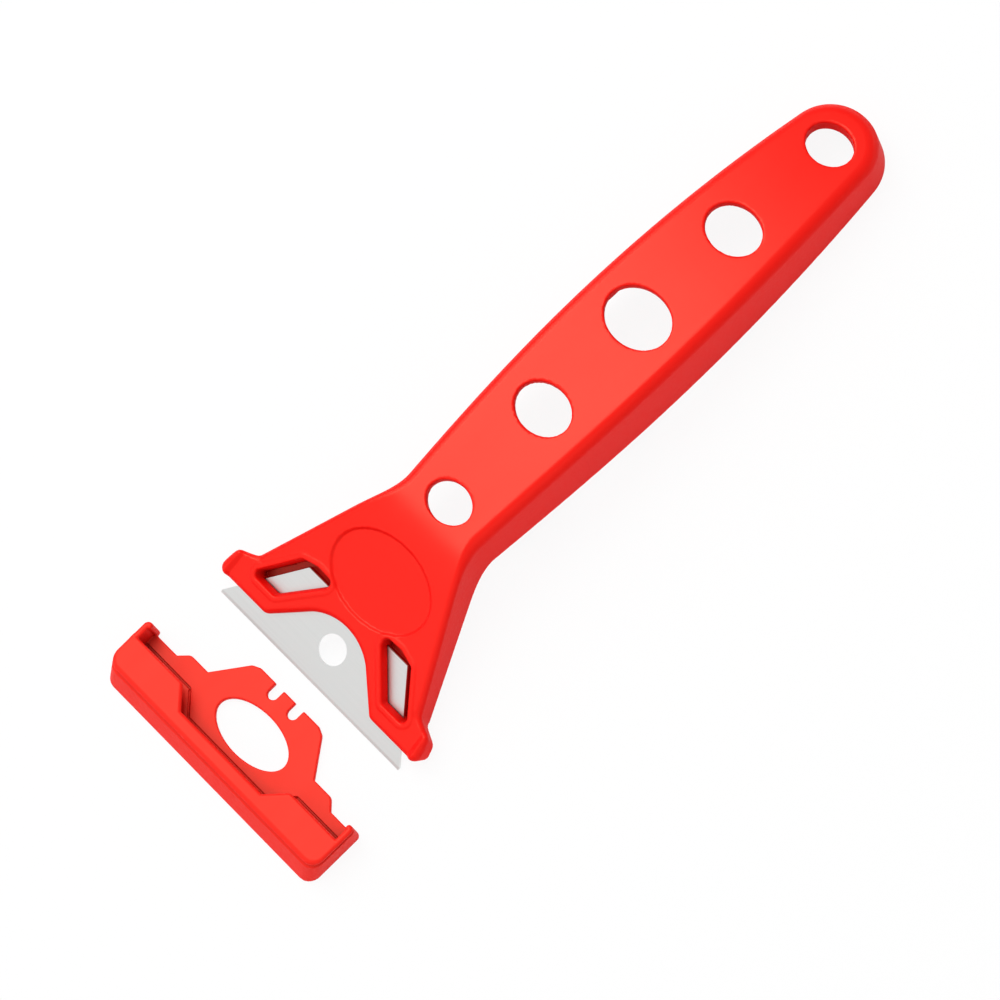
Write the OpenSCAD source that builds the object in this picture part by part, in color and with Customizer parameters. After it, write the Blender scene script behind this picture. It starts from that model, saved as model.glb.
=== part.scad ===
// Paint scraper: a moulded handle with a round hang hole and four oval grip holes, a trapezoid steel
// blade held in the slot of its head, and a push-on blade guard that lies in front, taken off.
// Millimetres. X runs across, Y runs from the guard to the handle's end, Z is up from the bench.

/* [Blade] */
// Length of the cutting edge
blade_w = 61; // [56:0.5:66]
// Length of the back edge
blade_back_w = 33; // [30:0.5:36]
// Depth from the cutting edge to the back edge
blade_d = 19.9; // [18.5:0.1:21]
// Thickness of the blade
blade_t = 0.6; // [0.4:0.05:0.9]
// Depth of the ground bevel along the cutting edge
bevel_d = 1.2; // [0.8:0.1:3]
// Thickness left at the cutting edge
edge_t = 0.06; // [0.04:0.01:0.15]
// Diameter of the round hole in the blade
blade_hole_d = 7.5; // [5:0.1:8.5]
// Distance from the cutting edge to the centre of that hole
blade_hole_in = 9.5; // [8.5:0.1:10.5]

/* [Head] */
// Angle between the blade and the bench
head_angle = 25; // [21:0.5:28]
// Height of the cutting edge above the bench
edge_lift = 0.3; // [0.2:0.1:2]
// How far the blade stands out in front of the head
blade_out = 4.7; // [3.5:0.1:5.5]
// Thickness of the head above the blade
jaw_up = 2.6; // [1.8:0.1:3]
// Thickness of the head below the blade
jaw_low = 1.7; // [1.4:0.1:2.2]
// Clearance round the blade in its slot
slot_clear = 0.1; // [0.05:0.05:0.25]
// How far each horn stands out past the blade's tip
horn_over = 2.7; // [2:0.1:4]
// Length of a horn along the head
horn_len = 5; // [4:0.1:6]
// Radius of a horn's front corner
horn_r = 3; // [1.5:0.1:4]
// How far the head steps in behind a horn
shoulder_in = 6.2; // [4:0.1:7.5]
// Length of that step
shoulder_len = 5.2; // [4:0.1:7]
// Length of each front lip, from the blade's tip inwards
lip_len = 13; // [11:0.1:15]
// Depth of the hollow front, from the lips to its deepest point
front_hollow = 11.9; // [10:0.1:13]
// Depth of the straight part of the hollow front
front_slant = 8.6; // [7:0.1:9.5]
// Half width of the round part of the hollow front
front_round = 9; // [7:0.1:10.5]
// Solid jaw left behind the blade's back edge
jaw_back = 4; // [3:0.1:6]
// Margin of a window outside the blade's slanted end
window_over = 2.1; // [1:0.1:2.4]
// Width of a window across the blade's slanted end
window_w = 6.9; // [4:0.1:7]
// Distance from the head's front to a window
window_in = 5.7; // [4.5:0.1:7]
// How far a window runs past the blade's back edge
window_past = 2.2; // [1:0.1:3]
// Corner radius of a window
window_r = 0.7; // [0.3:0.1:1.2]
// Length of the shallow oval dish on the head, across
oval_w = 28.6; // [20:0.2:30]
// Width of the oval dish, lengthwise
oval_d = 20.6; // [14:0.2:21]
// Distance from the cutting edge to the oval's centre
oval_in = 30.9; // [28.5:0.1:32.5]
// Depth of the oval dish
oval_t = 0.4; // [0.2:0.05:0.6]

/* [Handle] */
// Length from the cutting edge to the handle's end
tool_len = 180.5; // [170:0.5:200]
// Height of the arched top above the bench
arch_top = 23.7; // [22:0.1:26]
// Distance from the cutting edge to the top of the arch
arch_at = 78.5; // [74:0.5:84]
// Radius of the arched top
arch_r = 460; // [420:10:560]
// Roundness of the bend between head and handle
bend_soft = 2.4; // [1:0.1:4]
// Width at the neck
neck_w = 24.2; // [23:0.2:27]
// Distance from the cutting edge to the neck
neck_at = 48.5; // [46.5:0.5:50.5]
// Width across the middle of the grip
grip_w = 29.2; // [27:0.2:33]
// Distance from the cutting edge to the widest place
grip_at = 106.5; // [98:0.5:114]
// Width across the round end
end_w = 22; // [20:0.2:24]
// Wall thickness of the shell
wall = 2; // [1.6:0.1:2.6]
// Thickness of the skirt at its bottom edge
skirt_t = 1.3; // [1:0.1:1.8]
// Rounding of the handle's top edges
edge_r = 2.8; // [2:0.1:3.4]
// Rounding of the head's top edges
head_edge_r = 1.7; // [1:0.1:2]
// Draft of the side walls, in millimetres at the bottom edge
draft = 0.4; // [0:0.1:0.8]
// Height of the bottom edge above the bench at the neck
neck_lift = 7.2; // [4:0.1:9]
// Diameter of the round hang hole
hang_d = 11.1; // [9:0.1:13]
// Length of the oval grip hole at the neck
hole_small_d = 9.7; // [8:0.1:11]
// Length of the oval grip holes on both sides of the middle one
hole_mid_d = 12.1; // [10:0.1:13.5]
// Length of the middle oval grip hole
hole_big_d = 14.3; // [12:0.1:15.5]
// Width of an oval grip hole across the grip, as a share of its length
hole_wide = 1.24; // [1:0.02:1.3]
// Distance between two grip holes
hole_pitch = 29.9; // [27.5:0.1:30]
// Distance from the handle's end to the centre of the hang hole
hang_in = 10.7; // [10:0.1:13]

/* [Guard] */
// Gap between the cutting edge and the guard lying in front of it
guard_gap = 5.9; // [4:0.1:12]
// Clearance between the guard and the head's front that it goes over
guard_clear = 0.25; // [0.2:0.05:0.5]
// Thickness of the guard's walls
guard_wall = 1.6; // [1.2:0.1:2]
// Thickness of the guard's plate
plate_t = 1.5; // [1.2:0.1:1.8]
// Thickness of the guard's top pads
pad_t = 1.4; // [1.1:0.1:1.8]
// How far the front face slants out towards the bench
front_lean = 3.6; // [2:0.1:5]
// Radius of the guard's front corners
corner_r = 3.2; // [2.5:0.1:6]
// Depth of the narrow top lip in the middle
top_lip_d = 2; // [1.5:0.1:3]
// Depth of the two top pads
pad_d = 7; // [5:0.1:7.5]
// Length of the slanted step from a pad to the lip
pad_slant = 4.7; // [3:0.1:6]
// Depth of the wide part of the plate
plate_d = 10.3; // [9:0.1:11]
// Depth of the plate's shoulders
plate_step_d = 2.4; // [1.5:0.1:3]
// Half width of the plate's shoulders
plate_step_x = 23.8; // [21:0.1:25]
// Half width of the tongue where it leaves the shoulders
tongue_root_x = 18.1; // [16.5:0.1:19]
// Half width of the tongue at its rear
tongue_x = 11; // [9.5:0.1:12]
// Depth of the plate to the tongue's rear edge
tongue_d = 22; // [21:0.1:23]
// Length of the oval hole, across
eye_w = 22; // [18:0.2:23]
// Width of the oval hole, lengthwise
eye_d = 11.7; // [9:0.1:12]
// Distance from the front wall to the centre of the oval hole
eye_in = 9.8; // [9.4:0.1:10.4]
// Width of each notch beside the spring finger
notch_w = 2.7; // [2:0.1:3]
// Depth of each notch
notch_d = 3.6; // [3:0.1:4]
// Half width of the spring finger
finger_x = 2; // [1.5:0.1:2.5]
// Depth of the end ears
ear_d = 11.4; // [10.5:0.1:12.5]
// Length of an ear's hooked end
ear_hook = 2.2; // [1.8:0.1:3.6]
// Rounding of an ear's rear corner
ear_r = 1.2; // [0.4:0.1:1.5]
// Bevel along the guard's top edge
top_bevel = 0.7; // [0.3:0.1:1]

/* [Hidden] */

e = 0.01;
slot_h = blade_t / 2 + slot_clear;
head_top = slot_h + jaw_up;
head_low = slot_h + jaw_low;
horn_x = blade_w / 2 + horn_over;
shoulder_x = horn_x - shoulder_in;
horn_end = blade_out + horn_len;
shoulder_at = horn_end + shoulder_len;
jaw_end = blade_d + jaw_back;
lip_x = blade_w / 2 - lip_len;
ca = cos(head_angle);
sa = sin(head_angle);
ta = tan(head_angle);
end_rad = end_w / 2;
hang_y = tool_len - hang_in;
hole_d = [hang_d, hole_mid_d, hole_big_d, hole_mid_d, hole_small_d];
// the lower jaw stays clear of the bench
lift = max(edge_lift, head_low / ca - y_of(blade_out, -head_low) * ta + 0.1);

// guard: g is measured backwards from the inner face of its front wall
guard_gap_h = head_top + head_low + 2 * guard_clear;
guard_h = plate_t + guard_gap_h + pad_t;
guard_in_x = horn_x + guard_clear;
guard_x = guard_in_x + guard_wall;
guard_y = -guard_gap - tongue_d;
guard_front = guard_y - guard_wall - front_lean;
pad_x = lip_x + 0.9;
mid_y = (guard_front + tool_len) / 2;

red = [0.93, 0.13, 0.10];
red_guard = [0.95, 0.18, 0.14];
steel = [0.80, 0.81, 0.80];

// head coordinates: s runs back from the cutting edge in the blade's plane, h is square to that plane
module in_head() {
  translate([0, 0, lift])
    rotate([head_angle, 0, 0])
      children();
}

// place along the bench, and height, of a point of the head
function y_of(s, h) = s * ca - h * sa;
function s_at(y) = (y + head_top * sa) / ca;
function plane_z(y, h) = lift + y * ta + h / ca;

// the top line: the head's plane, the bend, then the arch
function arch_z(y) = arch_top - arch_r + sqrt(arch_r * arch_r - pow(y - arch_at, 2));
function arch_slope(y) = -asin((y - arch_at) / arch_r);
function soft_min(a, b, k) =
  let (t = max(0, min(1, 0.5 + 0.5 * (b - a) / k)))
  b + (a - b) * t - k * t * (1 - t);
function top_z(y) = soft_min(plane_z(y, head_top), arch_z(y), bend_soft);

// half width of the head and the handle seen from above
neck_x = neck_w / 2;
grip_x = grip_w / 2;
blend_y = neck_at - 11;
shoulder_y = y_of(shoulder_at, head_top);
blend_x = neck_x + 3.1;
function horn_w(s) =
  s < horn_end ? horn_x :
  horn_x - shoulder_in * (1 - cos(180 * min(1, (s - horn_end) / shoulder_len))) / 2;
function flank_w(y) = shoulder_x + (blend_x - shoulder_x) * (y - shoulder_y) / (blend_y - shoulder_y);
function hermite(t, a, b, ma, mb) =
  a * (2 * t * t * t - 3 * t * t + 1) + ma * (t * t * t - 2 * t * t + t)
  + b * (3 * t * t - 2 * t * t * t) + mb * (t * t * t - t * t);
function half_w(y) =
  y < shoulder_y ? horn_w(s_at(y)) :
  y < blend_y ? flank_w(y) :
  y < neck_at ? hermite((y - blend_y) / (neck_at - blend_y), blend_x, neck_x,
    (blend_x - shoulder_x) / (blend_y - shoulder_y) * (neck_at - blend_y), 0.5) :
  y < grip_at ? neck_x + (grip_x - neck_x) * sin(90 * (y - neck_at) / (grip_at - neck_at)) :
  y < tool_len - end_rad ?
    grip_x - (grip_x - end_rad) * pow((y - grip_at) / (tool_len - end_rad - grip_at), 2) :
  sqrt(max(0.04, end_rad * end_rad - pow(y - tool_len + end_rad, 2)));

// the bottom line: the lower jaw, the skirt's front foot, the lift at the neck, the end on the bench
foot_y0 = y_of(horn_end + 0.5, -head_low);
foot_y1 = y_of(shoulder_at, -head_low) - 2;
rest_y = tool_len - end_rad;
function jaw_z(y) = plane_z(y, -head_low);
function foot_z(y) = jaw_z(foot_y0) * (1 - (y - foot_y0) / (foot_y1 - foot_y0));
function bottom_z(y) =
  y < foot_y0 ? jaw_z(y) :
  y < foot_y1 ? foot_z(y) :
  y < neck_at ? neck_lift * (y - foot_y1) / (neck_at - foot_y1) :
  max(0, neck_lift * (rest_y - y) / (rest_y - neck_at));

// rounding of the top edge along the length, and the rounded end
function round_at(y) =
  let (t = max(0, min(1, (y - blend_y) / (neck_at - blend_y))))
  min(head_edge_r + (edge_r - head_edge_r) * t, half_w(y) * 0.8);
function end_drop(y) =
  let (d = max(0, y - tool_len + edge_r))
  edge_r - sqrt(max(0, edge_r * edge_r - d * d));

// one cross-section of the outside: over the top from right to left, then along the bottom
arc_n = 5;
function side(y, w, r, zt, zb, out, k) = concat(
  [[k * (w + out), y, zb]],
  [for (i = [0:arc_n]) [k * (w - r + r * cos(90 * i / arc_n)), y, zt - r + r * sin(90 * i / arc_n)]]);
function rev(a) = [for (i = [len(a) - 1:-1:0]) a[i]];
function section(y, w, r, zt, zb, out) =
  concat(side(y, w, r, zt, zb, out, 1), rev(side(y, w, r, zt, zb, out, -1)));
function outer(y) = section(y, half_w(y), round_at(y), top_z(y) - end_drop(y), bottom_z(y), draft);

// the hollow under the shell: below the lower jaw in front, one wall below the top behind it
jaw_y = y_of(jaw_end, -head_low);
function inner_top(y) =
  y < foot_y0 ? jaw_z(y) - 1 :
  y < jaw_y ? jaw_z(y) :
  top_z(y) - wall * sqrt(1 + pow(top_slope(y), 2));
function top_slope(y) = (top_z(y + 0.1) - top_z(y - 0.1)) / 0.2;
inner_end = tool_len - wall;
function inner_w(y) =
  y < inner_end - end_rad + wall ? half_w(y) - wall :
  sqrt(max(0.04, pow(end_rad - wall, 2) - pow(y - inner_end + end_rad - wall, 2)));
hollow_z = -8;
hollow_r = 1;
function flare(y) =
  let (zt = inner_top(y) - hollow_r)
  y < jaw_y ? 0 : (wall + draft - skirt_t) * (zt - hollow_z) / (zt - bottom_z(y));
function inner(y) =
  section(y, inner_w(y), min(hollow_r, inner_w(y) * 0.8), inner_top(y), hollow_z, flare(y));

// a closed solid through a row of cross-sections
module loft(rows) {
  n = len(rows[0]);
  m = len(rows);
  points = [for (r = rows) each r];
  sides = [for (j = [0:m - 2], i = [0:n - 1])
    let (a = j * n + i, b = j * n + (i + 1) % n)
    each [[a, b, a + n], [b, b + n, a + n]]];
  front = [for (i = [n - 1:-1:0]) i];
  back = [for (i = [0:n - 1]) (m - 1) * n + i];
  polyhedron(points = points, faces = concat(sides, [front, back]), convexity = 8);
}

front_y = y_of(blade_out, head_top);
cut_h = 12;
outer_y = concat(
  [front_y - 0.7, y_of(horn_end, head_top)],
  [for (i = [1:5]) y_of(horn_end + shoulder_len * i / 5, head_top)],
  [for (i = [1:4]) shoulder_y + (blend_y - shoulder_y) * i / 4],
  [for (i = [1:6]) blend_y + (neck_at - blend_y) * i / 6],
  [for (i = [1:10]) neck_at + (rest_y - neck_at) * i / 10],
  [for (a = [12:12:84]) rest_y + end_rad * sin(a)],
  [tool_len - 0.02]);
inner_y = concat(
  [foot_y0 - 0.8, foot_y1, jaw_y - 0.4, jaw_y + 0.4],
  [for (i = [1:6]) jaw_y + 0.4 + (neck_at - jaw_y) * i / 6],
  [for (i = [1:10]) neck_at + 0.4 + (rest_y - neck_at - 0.4) * i / 10],
  [for (a = [15:15:75]) rest_y + (end_rad - wall) * sin(a)],
  [inner_end - 0.02]);

// the blade's outline in its own plane, grown by a clearance and lengthened to the front
module blade_outline(grow, ahead) {
  end_out = (blade_w - blade_back_w) / 2 / blade_d;
  front_x = blade_w / 2 + grow * 1.3;
  back_x = blade_back_w / 2 + grow * 1.3 - grow * end_out;
  polygon([[-front_x, 0], [-front_x, -ahead], [front_x, -ahead], [front_x, 0],
    [back_x, blade_d + grow], [-back_x, blade_d + grow]]);
}

// the hollow front between the two lips
round_rise = front_hollow - front_slant;
round_rad = (front_round * front_round + round_rise * round_rise) / (2 * round_rise);
round_half = asin(front_round / round_rad);
module front_outline() {
  apex = blade_out + front_hollow;
  lead_x = lip_x + (lip_x - front_round) / front_slant;
  polygon(concat(
    [[lead_x, blade_out - 1]],
    [for (i = [0:12]) let (a = round_half * (1 - i / 6))
      [round_rad * sin(a), apex - round_rad + round_rad * cos(a)]],
    [[-lead_x, blade_out - 1]]));
}

// what lies in front of the lips and outside the horns' rounded front corners
module front_clear() {
  x = horn_x + draft / 2 - horn_r;
  y = blade_out + horn_r;
  turn = 15;
  function corner(k, a) = [k * (x + horn_r * cos(a)), y - horn_r * sin(a)];
  out = corner(1, turn) + 4 * [sin(turn), cos(turn)];
  polygon(concat(
    [[-out[0], out[1]], [-out[0], blade_out - 6], [out[0], blade_out - 6], out],
    [for (i = [1:6]) corner(1, turn * i)],
    [for (i = [6:-1:1]) corner(-1, turn * i)]));
}

// a window beside the oval, along the blade's slanted end
module window_outline(k) {
  lean = (blade_w - blade_back_w) / 2 / blade_d;
  s0 = blade_out + window_in;
  s1 = blade_d + window_past;
  x0 = blade_w / 2 - lean * s0 + window_over;
  x1 = blade_w / 2 - lean * (s1 - 1.2) + window_over;
  offset(r = window_r)
    offset(delta = -window_r)
      polygon([[k * x0, s0], [k * x1, s1 - 1.2], [k * (x1 - 4), s1], [k * (x1 - 8.4), s1 - 0.2],
        [k * (x1 - 8), s1 - 1.8], [k * (x0 - window_w), s0]]);
}

module handle() {
  color(red)
    translate([0, -mid_y, 0])
      difference() {
        loft([for (y = outer_y) outer(y)]);
        loft([for (y = inner_y) inner(y)]);
        in_head() {
          translate([0, 0, -cut_h])
            linear_extrude(2 * cut_h) {
              front_outline();
              front_clear();
            }
          translate([0, 0, -slot_h])
            linear_extrude(2 * slot_h)
              blade_outline(slot_clear, 8);
          linear_extrude(head_top + 4)
            window_outline(1);
          linear_extrude(head_top + 4)
            window_outline(-1);
          translate([0, oval_in, head_top - oval_t])
            linear_extrude(oval_t + 1)
              scale([oval_w / oval_d, 1])
                circle(d = oval_d, $fn = 64);
        }
        for (i = [0:4]) {
          translate([0, hang_y - i * hole_pitch, arch_z(hang_y - i * hole_pitch)])
            rotate([arch_slope(hang_y - i * hole_pitch), 0, 0])
              translate([0, 0, -wall - 4])
                linear_extrude(wall + 8)
                  scale([i == 0 ? 1 : hole_wide, 1])
                    circle(d = hole_d[i], $fn = 64);
        }
      }
}

module blade() {
  color(steel)
    translate([0, -mid_y, 0])
      in_head()
        difference() {
          intersection() {
            translate([0, 0, -blade_t])
              linear_extrude(2 * blade_t)
                blade_outline(0, 0);
            rotate([90, 0, 90])
              translate([0, 0, -blade_w])
                linear_extrude(2 * blade_w)
                  polygon([[0, -edge_t / 2], [bevel_d, -blade_t / 2], [blade_d + 1, -blade_t / 2],
                    [blade_d + 1, blade_t / 2], [bevel_d, blade_t / 2], [0, edge_t / 2]]);
          }
          translate([0, blade_hole_in, -blade_t])
            cylinder(d = blade_hole_d, h = 2 * blade_t, $fn = 48);
        }
}

// the guard's outline at one height, clockwise from above: slanted front, rounded front corners
ring_n = 6;
function guard_ring(z, inset) =
  let (y0 = -guard_wall - front_lean * (1 - z / guard_h) + inset, x0 = guard_x - inset, r = corner_r - inset)
  concat(
    [[x0, pad_d, z]],
    [for (i = [0:ring_n]) let (a = 90 * i / ring_n)
      [x0 - r + r * cos(a), y0 + r - r * sin(a), z]],
    [for (i = [0:ring_n]) let (a = 90 * i / ring_n)
      [-x0 + r - r * sin(a), y0 + r - r * cos(a), z]],
    [[-x0, pad_d, z]]);

module plate_outline() {
  step_y = plate_d + plate_step_d;
  difference() {
    polygon([[-guard_in_x, 0], [guard_in_x, 0], [guard_in_x, plate_d],
      [plate_step_x + plate_step_d, plate_d], [plate_step_x, step_y], [tongue_root_x, step_y],
      [tongue_x + 0.8, tongue_d - 0.9], [tongue_x - 1.2, tongue_d],
      [-tongue_x + 1.2, tongue_d], [-tongue_x - 0.8, tongue_d - 0.9],
      [-tongue_root_x, step_y], [-plate_step_x, step_y], [-plate_step_x - plate_step_d, plate_d],
      [-guard_in_x, plate_d]]);
    translate([0, eye_in])
      scale([eye_w / eye_d, 1])
        circle(d = eye_d, $fn = 64);
    for (k = [-1, 1])
      translate([k * (finger_x + notch_w / 2), tongue_d - notch_d + notch_w / 2]) {
        circle(d = notch_w, $fn = 24);
        translate([-notch_w / 2, 0])
          square([notch_w, notch_d]);
      }
  }
}

// the top: two deep pads over the head's lips, a narrow lip between them
module pad_outline() {
  polygon([[-guard_x, -guard_wall - front_lean], [guard_x, -guard_wall - front_lean], [guard_x, pad_d],
    [pad_x, pad_d], [pad_x - pad_slant, top_lip_d], [-pad_x + pad_slant, top_lip_d],
    [-pad_x, pad_d], [-guard_x, pad_d]]);
}

// an ear: the end wall run on behind the pads, hooked inwards round the back of a horn
module ear_outline(k) {
  y0 = pad_d - 0.5;
  arc = [for (i = [0:4]) let (a = 90 * i / 4)
    [k * (guard_x - ear_r + ear_r * cos(a)), ear_d - ear_r + ear_r * sin(a)]];
  polygon(concat(
    [[k * guard_in_x, y0], [k * guard_x, y0]],
    arc,
    [[k * (guard_x - ear_hook), ear_d], [k * (guard_x - ear_hook), ear_d - guard_wall],
      [k * guard_in_x, ear_d - guard_wall]]));
}

module blade_guard() {
  color(red_guard)
    translate([0, guard_y - mid_y, 0])
      union() {
        difference() {
          loft([guard_ring(0, 0), guard_ring(guard_h - top_bevel, 0), guard_ring(guard_h, top_bevel)]);
          translate([-guard_in_x, 0, plate_t])
            cube([2 * guard_in_x, pad_d + 1, guard_gap_h]);
          translate([0, 0, plate_t + e])
            linear_extrude(guard_h)
              difference() {
                translate([-guard_in_x, 0])
                  square([2 * guard_in_x, pad_d + 1]);
                pad_outline();
              }
          translate([0, 0, -1])
            linear_extrude(plate_t + 2)
              intersection() {
                translate([0, eye_in])
                  scale([eye_w / eye_d, 1])
                    circle(d = eye_d, $fn = 64);
                translate([-guard_in_x, 0])
                  square([2 * guard_in_x, pad_d + 1]);
              }
        }
        linear_extrude(plate_t)
          difference() {
            plate_outline();
            translate([-guard_x, -1])
              square([2 * guard_x, pad_d - 0.5 + 1]);
          }
        for (k = [-1, 1])
          linear_extrude(guard_h - top_bevel)
            ear_outline(k);
      }
}

handle();
blade();
blade_guard();
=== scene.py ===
# %% [markdown]
# # A paint scraper and its blade guard
# The scraper is a hollow red moulding that grips a trapezoid steel blade, and a loose red guard lies in
# front of it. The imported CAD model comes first: it fixes every place and size, and each piece made below
# rides on one of its bodies.

import math

import bmesh
import bpy
import numpy as np
from mathutils import Matrix, Quaternion, Vector


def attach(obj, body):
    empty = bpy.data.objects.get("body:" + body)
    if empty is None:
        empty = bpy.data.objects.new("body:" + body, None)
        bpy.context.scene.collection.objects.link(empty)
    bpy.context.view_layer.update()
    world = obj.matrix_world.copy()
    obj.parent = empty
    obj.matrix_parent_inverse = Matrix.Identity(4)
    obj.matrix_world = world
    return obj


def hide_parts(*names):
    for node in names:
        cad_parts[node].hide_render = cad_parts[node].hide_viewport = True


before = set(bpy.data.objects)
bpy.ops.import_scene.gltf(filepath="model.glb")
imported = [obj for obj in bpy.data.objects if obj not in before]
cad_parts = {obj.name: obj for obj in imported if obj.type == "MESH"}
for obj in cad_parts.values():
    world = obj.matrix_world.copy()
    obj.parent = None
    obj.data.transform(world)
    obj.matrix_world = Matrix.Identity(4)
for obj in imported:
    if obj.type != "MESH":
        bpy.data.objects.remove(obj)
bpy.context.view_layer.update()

# %% [markdown]
# ## The camera
# The object lies on a bench and is seen from far above with a long lens, so its lines stay almost
# parallel. A camera in Blender looks along its own -Z axis: it is turned to a point on the bench, then
# rolled about that axis until the handle runs to the upper right corner.

# %% Camera
camera_place = Vector((0.43311, -0.09651, 1.40054))
bench_point = Vector((0.00106, -0.01372, 0.0))
camera_roll = math.radians(-34.083)

camera = bpy.data.objects.new("camera", bpy.data.cameras.new("camera"))
camera.data.lens = 230.9
camera.data.sensor_width = 36.0
camera.data.clip_end = 20.0
camera.location = camera_place
camera.rotation_mode = "QUATERNION"
aim = (bench_point - camera_place).to_track_quat("-Z", "Y")
camera.rotation_quaternion = aim @ Quaternion((0, 0, 1), camera_roll)
bpy.context.scene.collection.objects.link(camera)
bpy.context.scene.camera = camera
print("camera", round((bench_point - camera_place).length, 3), "m from the bench point")

# %% [markdown]
# ## Moulded shapes as fields
# A moulding has no sharp edge anywhere, because molten plastic doesn't fill one. Bevels on a mesh full of
# holes go wrong easily, so both mouldings are written as a field instead: a function that tells how far a
# point is from the surface, below zero inside. Where two fields meet, a fillet of any radius is one line
# of arithmetic. All fields below are in millimetres.

# %% Joining fields with fillets
def both(a, b, radius):
    """What lies in a and in b, with a fillet along their common edge."""
    over_a = np.maximum(a + radius, 0)
    over_b = np.maximum(b + radius, 0)
    return np.minimum(np.maximum(a, b), -radius) + np.hypot(over_a, over_b)


def without(a, b, radius):
    """What lies in a but not in b."""
    return both(a, -b, radius)


def either(a, b, radius):
    """What lies in a or in b, with a fillet in their common corner."""
    return -both(-a, -b, radius)


def ease(low, high, value):
    """A smooth step from 0 at low to 1 at high."""
    t = np.clip((value - low) / (high - low), 0, 1)
    return t * t * (3 - 2 * t)


def outline_field(px, py, corners, radius=0.0):
    """Distance to a flat outline, its corners rounded outwards by radius."""
    nearest = np.full(px.shape, 1e9)
    inside = np.zeros(px.shape, bool)
    for (ax, ay), (bx, by) in zip(corners, corners[1:] + corners[:1]):
        ex, ey = bx - ax, by - ay
        t = np.clip(((px - ax) * ex + (py - ay) * ey) / (ex * ex + ey * ey), 0, 1)
        nearest = np.minimum(nearest, (px - ax - t * ex) ** 2 + (py - ay - t * ey) ** 2)
        if ay != by:
            inside ^= ((ay > py) != (by > py)) & (px < ax + (py - ay) / (by - ay) * ex)
    return np.where(inside, -1, 1) * np.sqrt(nearest) - radius


def inset(corners, depth):
    """The outline drawn smaller: each side moves inwards, and neighbours meet again."""
    moved = []
    for (ax, ay), (bx, by) in zip(corners, corners[1:] + corners[:1]):
        length = math.hypot(bx - ax, by - ay)
        nx, ny = (ay - by) / length, (bx - ax) / length
        moved.append((ax + nx * depth, ay + ny * depth, bx - ax, by - ay))
    met = []
    for (px, py, ux, uy), (qx, qy, vx, vy) in zip(moved[-1:] + moved[:-1], moved):
        t = ((qx - px) * vy - (qy - py) * vx) / (ux * vy - uy * vx)
        met.append((px + t * ux, py + t * uy))
    return met


def oval_field(px, py, half_x, half_y):
    """Distance to an oval, good near its rim."""
    reach = np.hypot(px / half_x, py / half_y)
    slope = np.hypot(px / half_x**2, py / half_y**2) + 1e-6
    return (reach**2 - 1) / (2 * slope) * np.minimum(1, 2 / (1 + reach))


left = float(-both(-1.0, -1.0, 3.0))
print("1 mm below both faces of a corner, a 3 mm fillet leaves", round(left, 2), "mm")

# %% [markdown]
# ## From a field to a mesh
# The skin is wrapped round the zero of a field in three steps. A grid of points tells which cells the
# surface crosses, and each of those cells gets one vertex. Blender's Decimate modifier then thins out the
# faces where the surface is flat. Last, every vertex is pulled onto the exact surface along the field's
# slope, and that slope also gives its normal, so highlights run evenly over the thinned mesh.

# %% Wrapping a skin round a field
CORNERS = [(i, j, k) for i in (0, 1) for j in (0, 1) for k in (0, 1)]
STEPS = np.eye(3, dtype=int)
least_slope, most_shift, mm_per_m = 0.05, 0.4, 1000


def slope_of(field, points, step=0.02):
    """How fast the field grows along x, y and z at each point."""
    parts = []
    for axis in range(3):
        ahead, behind = points.copy(), points.copy()
        ahead[:, axis] += step
        behind[:, axis] -= step
        parts.append((field(*ahead.T) - field(*behind.T)) / (2 * step))
    return np.stack(parts, axis=1)


def pull_to_surface(field, points, rounds=4):
    """The points moved along the field's slope until the field is zero there."""
    for _ in range(rounds):
        slope = slope_of(field, points)
        size = np.maximum((slope**2).sum(axis=1), least_slope)
        shift = np.clip(field(*points.T) / size, -most_shift, most_shift)
        points = points - slope * shift[:, None]
    return points


def grid_skin(field, lines):
    """One vertex for each cell that the surface crosses, one face for each line that pierces it."""
    value = field(*np.meshgrid(*lines, indexing="ij"))
    inside = value < 0
    nx, ny, nz = (len(line) - 1 for line in lines)
    count = sum(inside[i : i + nx, j : j + ny, k : k + nz].astype(np.int8) for i, j, k in CORNERS)
    cells = np.argwhere((count > 0) & (count < len(CORNERS)))
    number = np.full((nx, ny, nz), -1)
    number[tuple(cells.T)] = np.arange(len(cells))
    total = np.zeros((len(cells), 3))
    hits = np.zeros((len(cells), 1))
    quads = []
    for axis in range(3):
        step = STEPS[axis]
        for corner in CORNERS:
            if corner[axis]:
                continue
            start = cells + corner
            stop = start + step
            v0, v1 = value[tuple(start.T)], value[tuple(stop.T)]
            cross = (v0 < 0) != (v1 < 0)
            t = np.where(cross, v0 / np.where(cross, v0 - v1, 1), 0)[:, None]
            p0 = np.stack([line[i] for line, i in zip(lines, start.T)], axis=1)
            p1 = np.stack([line[i] for line, i in zip(lines, stop.T)], axis=1)
            total += cross[:, None] * (p0 + t * (p1 - p0))
            hits += cross[:, None]
        b, c = STEPS[(axis + 1) % 3], STEPS[(axis + 2) % 3]
        piece = tuple(slice(1, -1) if i != axis else slice(0, -1) for i in range(3))
        ahead = tuple(slice(1, -1) if i != axis else slice(1, None) for i in range(3))
        edges = np.argwhere(inside[piece] != inside[ahead]) + b + c
        ring = np.stack([number[tuple((edges + o).T)] for o in (-b - c, -c, 0 * b, -b)], axis=1)
        outward = inside[tuple(edges.T)]
        ring[~outward] = ring[~outward][:, ::-1]
        quads.append(ring)
    return total / hits, np.concatenate(quads)


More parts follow.
